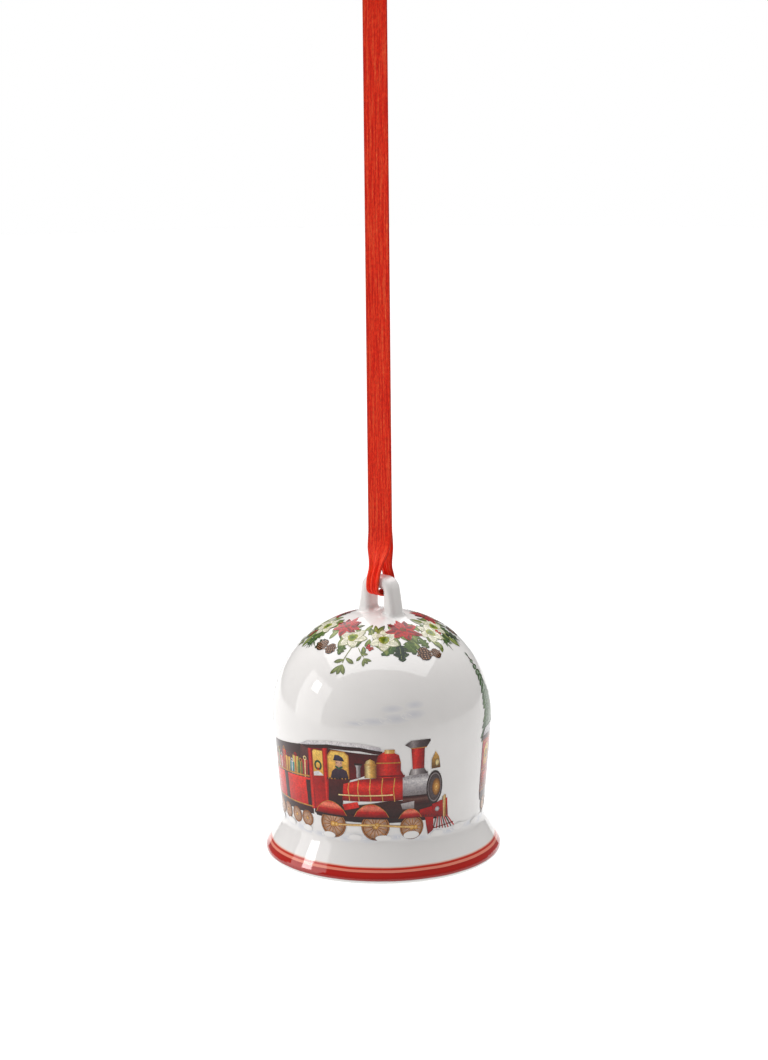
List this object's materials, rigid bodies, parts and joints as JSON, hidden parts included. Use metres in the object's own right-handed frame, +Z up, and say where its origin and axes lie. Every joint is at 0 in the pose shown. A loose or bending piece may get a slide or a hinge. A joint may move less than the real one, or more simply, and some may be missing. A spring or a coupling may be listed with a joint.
{
  "type": "christmas bell ornament",
  "caption": "Porcelain bell with a moulded hanger loop and an inner clapper, hung from a doubled satin ribbon with a knotted hanging eye.",
  "frame": {"origin": "inside top of the ribbon's hanging eye, where a hook carries the ornament", "axes": "+Z up along the bell's axis, -Y to the side with the locomotive, +X to the right seen from that side"},
  "size_m": [0.06, 0.06, 0.2383],
  "materials": {
    "porcelain": "glossy white glaze with printed winter decoration and enamelled rim bands",
    "clapper_porcelain": "glossy white glaze",
    "cement": "matt, slightly rough",
    "steel_wire": "drawn wire, half bright",
    "brass": "crimped, slightly dull",
    "satin_ribbon": "red double-faced satin"
  },
  "bodies": {
    "ribbon": {"ribbon_front": "satin_ribbon", "ribbon_back": "satin_ribbon", "ribbon_sling": "satin_ribbon", "ribbon_knot": "satin_ribbon", "ribbon_eye": "satin_ribbon", "ribbon_tail_front": "satin_ribbon", "ribbon_tail_back": "satin_ribbon"},
    "bell": {"bell_shell": "porcelain", "hanger_loop": "porcelain", "crown_cement": "cement", "clapper_staple": "steel_wire"},
    "link": {"jump_ring": "steel_wire"},
    "clapper": {"clapper_stem": "steel_wire", "clapper_ball": "clapper_porcelain", "clapper_ferrule": "brass"}
  },
  "joints": [
    {"name": "bell_swing", "type": "hinge", "parent": "ribbon", "child": "bell", "pos_m": [0, 0, -0.167], "axis": [0.7431, -0.6691, 0], "range_deg": [-45, 45]},
    {"name": "ring_swing", "type": "hinge", "parent": "bell", "child": "link", "pos_m": [0, 0, -0.1858], "axis": [1, 0, 0], "range_deg": [-18, 18]},
    {"name": "clapper_swing", "type": "hinge", "parent": "link", "child": "clapper", "pos_m": [0, 0, -0.18915], "axis": [0, 1, 0], "range_deg": [-19, 19]}
  ]
}
